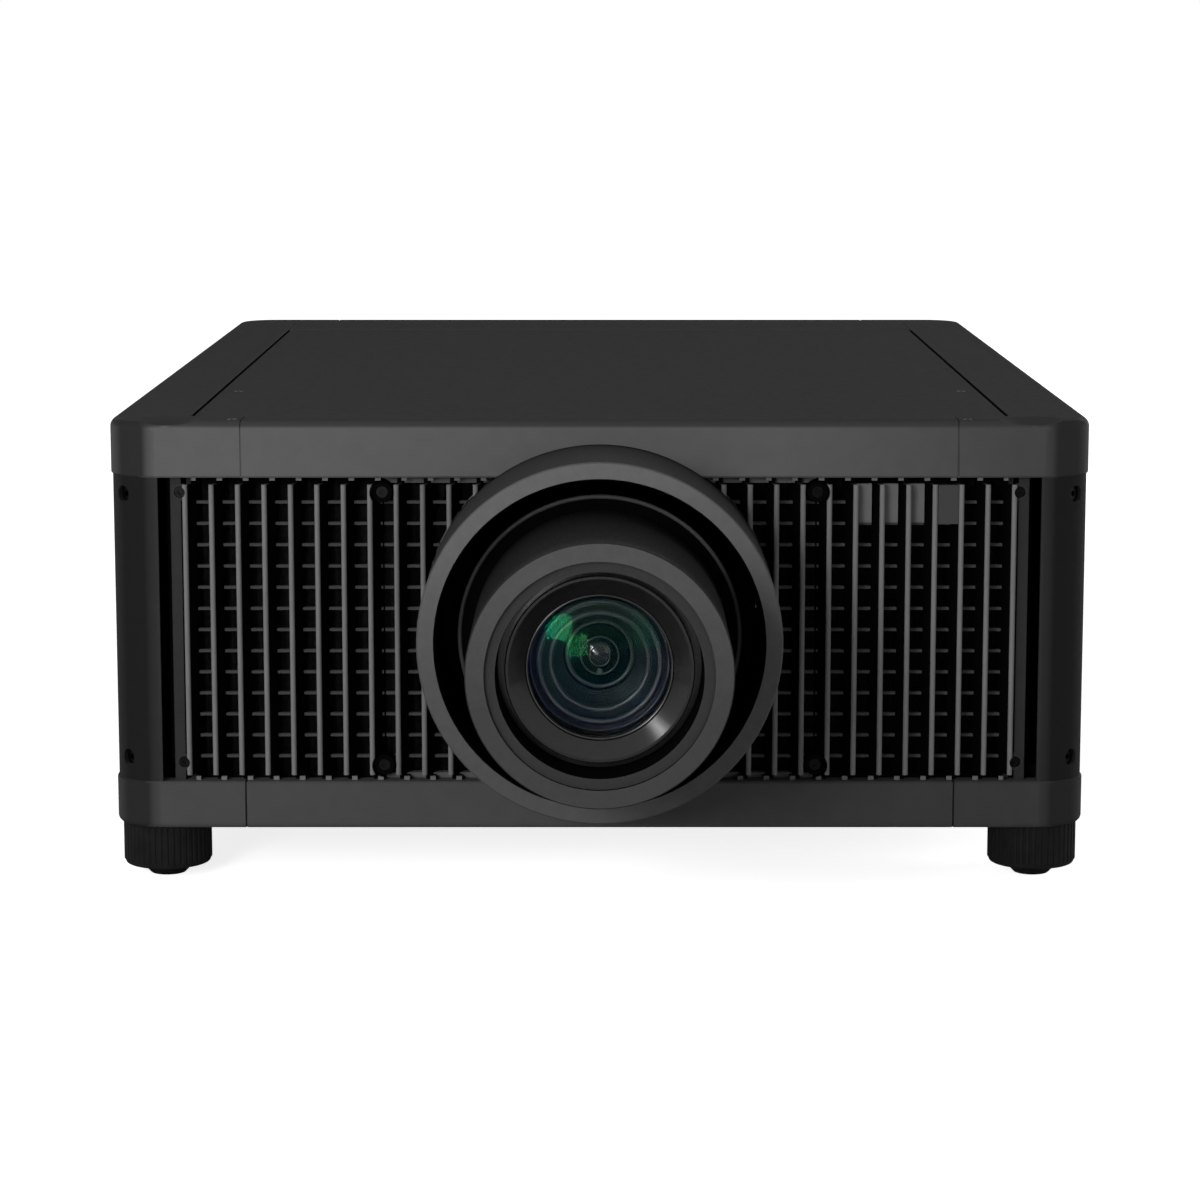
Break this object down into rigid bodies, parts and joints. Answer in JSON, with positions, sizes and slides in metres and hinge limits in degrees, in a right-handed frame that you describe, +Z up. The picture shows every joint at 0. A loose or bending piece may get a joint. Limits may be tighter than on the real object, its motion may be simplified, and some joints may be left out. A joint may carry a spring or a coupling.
{
  "type": "home projector",
  "caption": "Large home cinema projector with louvred front intakes, motorised zoom lens with lens shift, cooling fans, control keys and screw feet.",
  "frame": {"origin": "centre of the overall box on plan, at the surface that the feet stand on", "axes": "+Z up, the lens looks along -Y, +X to the right for someone facing the lens"},
  "size_m": [0.56, 0.941, 0.2675],
  "materials": {
    "case_coating": "matte fine-texture black powder coat",
    "base_sheet": "matte black sheet steel",
    "grille_plastic": "satin black moulded louvres",
    "lens_coating": "matte black anodised and coated aluminium",
    "lens_black": "dead black inner lens parts",
    "window_plastic": "smoked translucent plastic",
    "port_metal": "black socket plate with metal socket shells",
    "inlet_plastic": "black moulded mains inlet",
    "black_steel": "blackened steel",
    "foot_plastic": "black grooved plastic",
    "foot_rubber": "black rubber",
    "lens_glass": "coated optical glass",
    "prism_glass": "dichroic prism glass",
    "gear_plastic": "natural acetal",
    "brass": "satin",
    "motor_steel": "satin",
    "cast_aluminium": "as cast",
    "bright_steel": "ground",
    "zinc_sheet": "galvanised",
    "circuit_board": "solder mask",
    "fan_plastic": "black",
    "key_plastic": "black moulded keys"
  },
  "bodies": {
    "case": {"top_cover": "case_coating", "base_plate": "base_sheet", "top_front_bar": "case_coating", "top_rear_bar": "case_coating", "top_rails": "case_coating", "bottom_front_bar": "case_coating", "bottom_rear_bar": "case_coating", "bottom_rails": "case_coating", "corner_columns": "case_coating", "grille_left": "grille_plastic", "grille_centre": "grille_plastic", "grille_right": "grille_plastic", "lens_shroud": "lens_coating", "signal_windows": "window_plastic", "side_panels": "case_coating", "rear_panel": "case_coating", "connector_ports": "port_metal", "power_inlet": "inlet_plastic", "case_screws": "black_steel", "lens_frame": "cast_aluminium", "optical_engine": "cast_aluminium", "prism_block": "prism_glass", "laser_module": "cast_aluminium", "heat_sink": "cast_aluminium", "power_supply": "zinc_sheet", "main_board": "circuit_board", "fan_frames": "fan_plastic"},
    "lens": {"lens_barrel": "lens_coating", "lens_housing": "lens_coating", "shift_carriage": "cast_aluminium", "lens_motors": "motor_steel"},
    "lift": {"lift_carriage": "cast_aluminium", "shift_motors": "motor_steel"},
    "focus_group": {"focus_cell": "lens_black", "front_glass": "lens_glass"},
    "zoom_group": {"zoom_cell": "lens_black", "zoom_glass": "lens_glass"},
    "focus_ring": {"focus_ring": "gear_plastic"},
    "zoom_ring": {"zoom_ring": "gear_plastic"},
    "focus_pinion": {"focus_pinion": "brass"},
    "zoom_pinion": {"zoom_pinion": "brass"},
    "lift_screw": {"lift_screw": "bright_steel"},
    "shift_screw": {"shift_screw": "bright_steel"},
    "left_intake_fan": {"left_intake_fan": "fan_plastic"},
    "right_intake_fan": {"right_intake_fan": "fan_plastic"},
    "exhaust_fan": {"exhaust_fan": "fan_plastic"},
    "power_key": {"power_key": "key_plastic"},
    "input_key": {"input_key": "key_plastic"},
    "menu_key": {"menu_key": "key_plastic"},
    "up_key": {"up_key": "key_plastic"},
    "down_key": {"down_key": "key_plastic"},
    "enter_key": {"enter_key": "key_plastic"},
    "front_left_foot_pad": {"front_left_pad": "foot_rubber"},
    "front_left_foot_knob": {"front_left_knob": "foot_plastic"},
    "front_right_foot_pad": {"front_right_pad": "foot_rubber"},
    "front_right_foot_knob": {"front_right_knob": "foot_plastic"},
    "rear_left_foot_pad": {"rear_left_pad": "foot_rubber"},
    "rear_left_foot_knob": {"rear_left_knob": "foot_plastic"},
    "rear_right_foot_pad": {"rear_right_pad": "foot_rubber"},
    "rear_right_foot_knob": {"rear_right_knob": "foot_plastic"}
  },
  "joints": [
    {"name": "front_left_foot_drop", "type": "slide", "parent": "case", "child": "front_left_foot_pad", "axis": [0, 0, -1], "range_m": [0, 0.012]},
    {"name": "front_left_foot_turn", "type": "hinge", "parent": "front_left_foot_pad", "child": "front_left_foot_knob", "pos_m": [-0.252, -0.2595, 0.02], "axis": [0, 0, -1], "range_deg": [0, 2161]},
    {"name": "front_right_foot_drop", "type": "slide", "parent": "case", "child": "front_right_foot_pad", "axis": [0, 0, -1], "range_m": [0, 0.012]},
    {"name": "front_right_foot_turn", "type": "hinge", "parent": "front_right_foot_pad", "child": "front_right_foot_knob", "pos_m": [0.252, -0.2595, 0.02], "axis": [0, 0, -1], "range_deg": [0, 2161]},
    {"name": "rear_left_foot_drop", "type": "slide", "parent": "case", "child": "rear_left_foot_pad", "axis": [0, 0, -1], "range_m": [0, 0.012]},
    {"name": "rear_left_foot_turn", "type": "hinge", "parent": "rear_left_foot_pad", "child": "rear_left_foot_knob", "pos_m": [-0.252, 0.4405, 0.02], "axis": [0, 0, -1], "range_deg": [0, 2161]},
    {"name": "rear_right_foot_drop", "type": "slide", "parent": "case", "child": "rear_right_foot_pad", "axis": [0, 0, -1], "range_m": [0, 0.012]},
    {"name": "rear_right_foot_turn", "type": "hinge", "parent": "rear_right_foot_pad", "child": "rear_right_foot_knob", "pos_m": [0.252, 0.4405, 0.02], "axis": [0, 0, -1], "range_deg": [0, 2161]},
    {"name": "lens_lift", "type": "slide", "parent": "case", "child": "lift", "axis": [0, 0, 1], "range_m": [-0.0075, 0.0075]},
    {"name": "lens_side_shift", "type": "slide", "parent": "lift", "child": "lens", "axis": [1, 0, 0], "range_m": [-0.005, 0.005]},
    {"name": "lift_screw_turn", "type": "hinge", "parent": "lift", "child": "lift_screw", "pos_m": [0.165, -0.211, 0.1531], "axis": [0, 0, 1], "range_deg": [-675, 675]},
    {"name": "shift_screw_turn", "type": "hinge", "parent": "lift", "child": "shift_screw", "pos_m": [0.12, -0.2355, 0.1531], "axis": [1, 0, 0], "range_deg": [-450, 450]},
    {"name": "focus_group_travel", "type": "slide", "parent": "lens", "child": "focus_group", "axis": [0, -1, 0], "range_m": [-0.003, 0.003]},
    {"name": "zoom_group_travel", "type": "slide", "parent": "lens", "child": "zoom_group", "axis": [0, -1, 0], "range_m": [0, 0.014]},
    {"name": "focus_ring_turn", "type": "hinge", "parent": "lens", "child": "focus_ring", "pos_m": [0, -0.2895, 0.1531], "axis": [0, 1, 0], "range_deg": [-60.5, 60.5]},
    {"name": "zoom_ring_turn", "type": "hinge", "parent": "lens", "child": "zoom_ring", "pos_m": [0, -0.2895, 0.1531], "axis": [0, 1, 0], "range_deg": [0, 90.5]},
    {"name": "focus_pinion_turn", "type": "hinge", "parent": "lens", "child": "focus_pinion", "pos_m": [0.05385, -0.1815, 0.20695], "axis": [0, 1, 0], "range_deg": [-321, 321]},
    {"name": "zoom_pinion_turn", "type": "hinge", "parent": "lens", "child": "zoom_pinion", "pos_m": [-0.05385, -0.1595, 0.20695], "axis": [0, 1, 0], "range_deg": [-481, 0]},
    {"name": "left_intake_fan_spin", "type": "hinge", "parent": "case", "child": "left_intake_fan", "pos_m": [-0.186, -0.2545, 0.14975], "axis": [0, 1, 0], "continuous": true},
    {"name": "right_intake_fan_spin", "type": "hinge", "parent": "case", "child": "right_intake_fan", "pos_m": [0.186, -0.2545, 0.14975], "axis": [0, 1, 0], "continuous": true},
    {"name": "exhaust_fan_spin", "type": "hinge", "parent": "case", "child": "exhaust_fan", "pos_m": [-0.105, 0.4475, 0.14975], "axis": [0, 1, 0], "continuous": true},
    {"name": "power_key_press", "type": "slide", "parent": "case", "child": "power_key", "axis": [0, -1, 0], "range_m": [0, 0.001], "stiffness_N_per_m": 800},
    {"name": "input_key_press", "type": "slide", "parent": "case", "child": "input_key", "axis": [0, -1, 0], "range_m": [0, 0.001], "stiffness_N_per_m": 800},
    {"name": "menu_key_press", "type": "slide", "parent": "case", "child": "menu_key", "axis": [0, -1, 0], "range_m": [0, 0.001], "stiffness_N_per_m": 800},
    {"name": "up_key_press", "type": "slide", "parent": "case", "child": "up_key", "axis": [0, -1, 0], "range_m": [0, 0.001], "stiffness_N_per_m": 800},
    {"name": "down_key_press", "type": "slide", "parent": "case", "child": "down_key", "axis": [0, -1, 0], "range_m": [0, 0.001], "stiffness_N_per_m": 800},
    {"name": "enter_key_press", "type": "slide", "parent": "case", "child": "enter_key", "axis": [0, -1, 0], "range_m": [0, 0.001], "stiffness_N_per_m": 800}
  ],
  "couplings": [
    {"joint": "front_left_foot_turn", "follows": "front_left_foot_drop", "rad_per_m": 3141.6},
    {"joint": "front_right_foot_turn", "follows": "front_right_foot_drop", "rad_per_m": 3141.6},
    {"joint": "rear_left_foot_turn", "follows": "rear_left_foot_drop", "rad_per_m": 3141.6},
    {"joint": "rear_right_foot_turn", "follows": "rear_right_foot_drop", "rad_per_m": 3141.6},
    {"joint": "lift_screw_turn", "follows": "lens_lift", "rad_per_m": 1570.8},
    {"joint": "shift_screw_turn", "follows": "lens_side_shift", "rad_per_m": 1570.8},
    {"joint": "focus_ring_turn", "follows": "focus_group_travel", "rad_per_m": 349.07},
    {"joint": "zoom_ring_turn", "follows": "zoom_group_travel", "rad_per_m": 112.2},
    {"joint": "focus_pinion_turn", "follows": "focus_group_travel", "rad_per_m": -1861.7},
    {"joint": "zoom_pinion_turn", "follows": "zoom_group_travel", "rad_per_m": -598.4}
  ]
}
